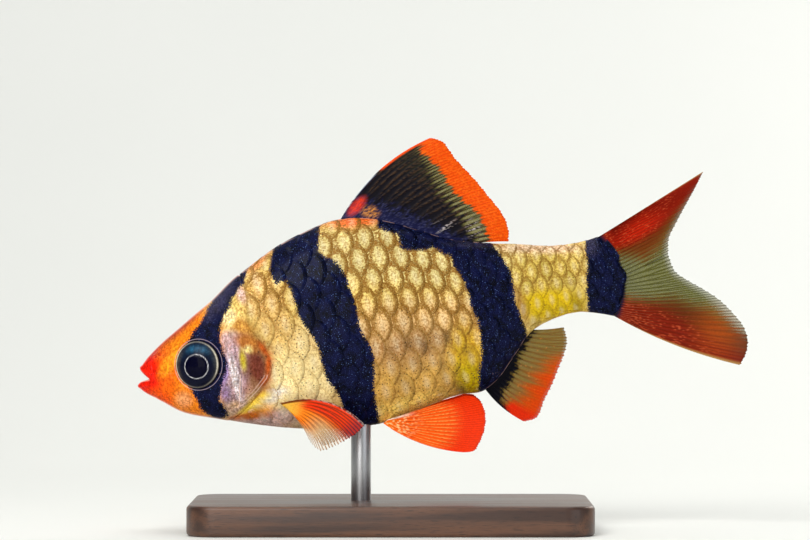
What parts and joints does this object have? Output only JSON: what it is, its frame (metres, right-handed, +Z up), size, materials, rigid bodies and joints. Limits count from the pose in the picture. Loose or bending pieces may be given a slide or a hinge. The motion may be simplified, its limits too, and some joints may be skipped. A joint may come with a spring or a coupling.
{
  "type": "tiger barb display model",
  "caption": "Life-size still model of a tiger barb, a deep-bodied aquarium fish with dark bands and red fins, swimming on a plain wooden stand with a metal rod.",
  "frame": {"origin": "on the underside of the stand, below the middle of the whole model seen from above", "axes": "+Z up, -X towards the snout, -Y towards the fish's left side"},
  "size_m": [0.061, 0.024, 0.0393],
  "materials": {
    "skin": "wet, scaled skin, straw gold with navy-black bands and a red nose",
    "eye": "polished, navy-black iris round a black pupil",
    "fin": "thin membrane on raised rays, orange-red with dark and clear fields",
    "stand_wood": "satin, dark stained",
    "stand_rod": "brushed"
  },
  "bodies": {
    "root": {"head": "skin", "lower_jaw": "skin", "gill_cover_left": "skin", "gill_cover_right": "skin", "eye_left": "eye", "eye_right": "eye", "torso": "skin", "tail_stalk": "skin", "dorsal_fin": "fin", "caudal_fin_upper": "fin", "caudal_fin_lower": "fin", "anal_fin": "fin", "pelvic_fin_left": "fin", "pelvic_fin_right": "fin", "pectoral_fin_left": "fin", "pectoral_fin_right": "fin", "stand_base": "stand_wood", "stand_rod": "stand_rod"}
  },
  "joints": []
}
